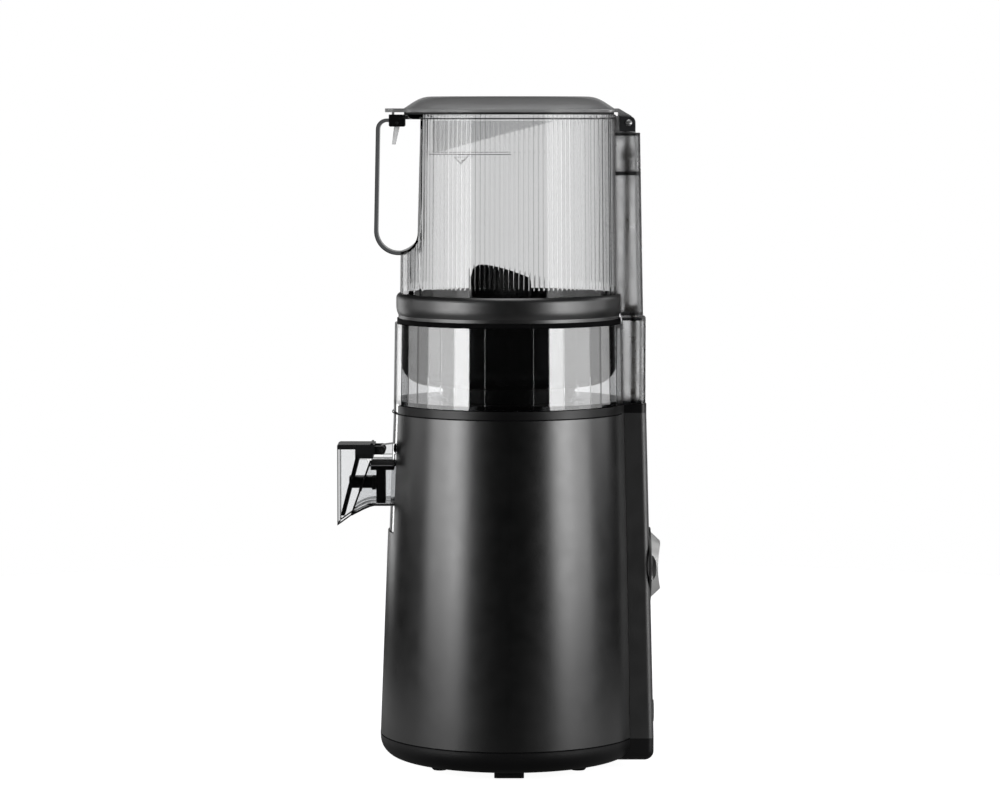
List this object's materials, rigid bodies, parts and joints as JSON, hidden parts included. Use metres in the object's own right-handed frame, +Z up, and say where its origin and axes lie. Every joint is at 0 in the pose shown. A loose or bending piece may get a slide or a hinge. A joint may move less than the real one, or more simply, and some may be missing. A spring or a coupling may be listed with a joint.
{
  "type": "cold press juicer",
  "caption": "Vertical slow juicer: tapered black base, clear fluted chamber with front spouts, tall smoked hopper with loop handle, hinged lid",
  "frame": {"origin": "On the table, under the middle of the footprint box; the drive axis stands 6.1 mm behind it in +Y.", "axes": "+Z up along the drive axis, -Y the spouts and the handle, +Y the spine, the hinge and the knob, +X the side of the juice spout."},
  "size_m": [0.1754, 0.2192, 0.4548],
  "materials": {
    "body_coat": "glossy black shell",
    "black_matte": "black moulded plastic",
    "clear_resin": "clear copolyester",
    "smoked_resin": "smoked grey copolyester",
    "dark_resin": "dark smoked, polished",
    "frosted_resin": "frosted grey",
    "filter_resin": "black pressing resin",
    "silicone": "soft silicone",
    "rubber_black": "matt rubber",
    "steel_bright": "ground steel",
    "knob_metal": "satin anodised",
    "cast_case": "die cast",
    "lamination": "stacked laminations",
    "copper": "enamelled winding",
    "board": "circuit board",
    "gear_resin": "acetal"
  },
  "bodies": {
    "base": {"body_shell": "body_coat", "spine_cover": "body_coat", "trim_ring": "black_matte", "chamber_well": "black_matte", "base_pan": "black_matte", "block_feet": "rubber_black", "round_feet": "rubber_black", "base_screws": "steel_bright", "motor_can": "cast_case", "motor_cradle": "rubber_black", "motor_stator": "lamination", "motor_windings": "copper", "motor_bearings": "steel_bright", "gearbox_case": "cast_case", "gearbox_cover": "cast_case", "idler_axle": "steel_bright", "shaft_bearings": "steel_bright", "shaft_seal": "silicone", "control_board": "board", "board_bracket": "black_matte", "selector_switch": "black_matte", "knob_ring": "body_coat", "lid_switch": "black_matte", "cord_gland": "rubber_black"},
    "drive": {"drive_shaft": "steel_bright", "output_gear": "gear_resin"},
    "idler": {"idler_gear": "gear_resin"},
    "motor": {"motor_shaft": "steel_bright", "motor_rotor": "lamination", "cooling_fan": "black_matte"},
    "knob": {"selector_knob": "knob_metal"},
    "plunger": {"switch_plunger": "gear_resin"},
    "chamber": {"juice_chamber": "clear_resin", "chamber_lobe": "smoked_resin", "chamber_seal": "silicone", "feed_funnel": "filter_resin", "strainer": "filter_resin", "juice_spout": "clear_resin", "pulp_spout": "clear_resin", "outlet_seal": "silicone", "cap_pin": "steel_bright"},
    "drip_cap": {"cap_lever": "dark_resin", "cap_cover": "clear_resin", "cap_plug": "silicone"},
    "relay": {"relay_pin": "gear_resin"},
    "screw": {"auger": "filter_resin", "auger_socket": "steel_bright", "slicing_wing": "filter_resin"},
    "hopper": {"hopper_shell": "smoked_resin", "collar_ring": "black_matte", "hopper_spine": "smoked_resin", "hinge_pin": "steel_bright", "handle_strap": "smoked_resin", "latch_housing": "black_matte", "latch_pin": "steel_bright"},
    "latch": {"latch_trigger": "frosted_resin"},
    "rod": {"interlock_rod": "gear_resin", "rod_spring": "steel_bright"},
    "lid": {"lid": "dark_resin", "lid_seal": "silicone"}
  },
  "joints": [
    {"name": "motor_spin", "type": "hinge", "parent": "base", "child": "motor", "pos_m": [0, 0.0061, 0.09], "axis": [0, 0, 1], "continuous": true},
    {"name": "idler_spin", "type": "hinge", "parent": "base", "child": "idler", "pos_m": [0.03, 0.0061, 0.135], "axis": [0, 0, 1], "continuous": true},
    {"name": "drive_spin", "type": "hinge", "parent": "base", "child": "drive", "pos_m": [0, 0.0061, 0.165], "axis": [0, 0, 1], "continuous": true},
    {"name": "chamber_lift", "type": "slide", "parent": "base", "child": "chamber", "axis": [0, 0, 1], "range_m": [0, 0.1]},
    {"name": "auger_spin", "type": "hinge", "parent": "chamber", "child": "screw", "pos_m": [0, 0.0061, 0.23], "axis": [0, 0, 1], "continuous": true},
    {"name": "drip_cap_hinge", "type": "hinge", "parent": "chamber", "child": "drip_cap", "pos_m": [0.014, -0.07999, 0.2171], "axis": [-1, 0, 0], "range_deg": [0, 90]},
    {"name": "relay_slide", "type": "slide", "parent": "chamber", "child": "relay", "axis": [0, 0, 1], "range_m": [0, 0.0033], "stiffness_N_per_m": 60, "springref_m": 0.005},
    {"name": "hopper_lift", "type": "slide", "parent": "chamber", "child": "hopper", "axis": [0, 0, 1], "range_m": [0, 0.06]},
    {"name": "lid_hinge", "type": "hinge", "parent": "hopper", "child": "lid", "pos_m": [0, 0.0866, 0.4372], "axis": [-1, 0, 0], "range_deg": [0, 105]},
    {"name": "rod_slide", "type": "slide", "parent": "hopper", "child": "rod", "axis": [0, 0, 1], "range_m": [0, 0.0033], "stiffness_N_per_m": 150, "springref_m": 0.006, "deforming": ["rod_spring"]},
    {"name": "latch_hinge", "type": "hinge", "parent": "hopper", "child": "latch", "pos_m": [0, -0.0693, 0.4371], "axis": [-1, 0, 0], "range_deg": [0, 12], "stiffness_Nm_per_rad": 0.02, "springref_deg": -8.59},
    {"name": "plunger_slide", "type": "slide", "parent": "base", "child": "plunger", "axis": [0, 0, 1], "range_m": [0, 0.0033], "stiffness_N_per_m": 60, "springref_m": 0.005},
    {"name": "knob_turn", "type": "hinge", "parent": "base", "child": "knob", "pos_m": [0, 0.1061, 0.1366], "axis": [0, 1, 0], "range_deg": [-45, 45]}
  ],
  "couplings": [
    {"joint": "idler_spin", "follows": "motor_spin", "ratio": -0.25},
    {"joint": "drive_spin", "follows": "motor_spin", "ratio": 0.0625},
    {"joint": "auger_spin", "follows": "motor_spin", "ratio": 0.0625},
    {"joint": "rod_slide", "follows": "lid_hinge", "m_per_rad": 0.00175},
    {"joint": "relay_slide", "follows": "lid_hinge", "m_per_rad": 0.00175},
    {"joint": "plunger_slide", "follows": "lid_hinge", "m_per_rad": 0.00175}
  ]
}
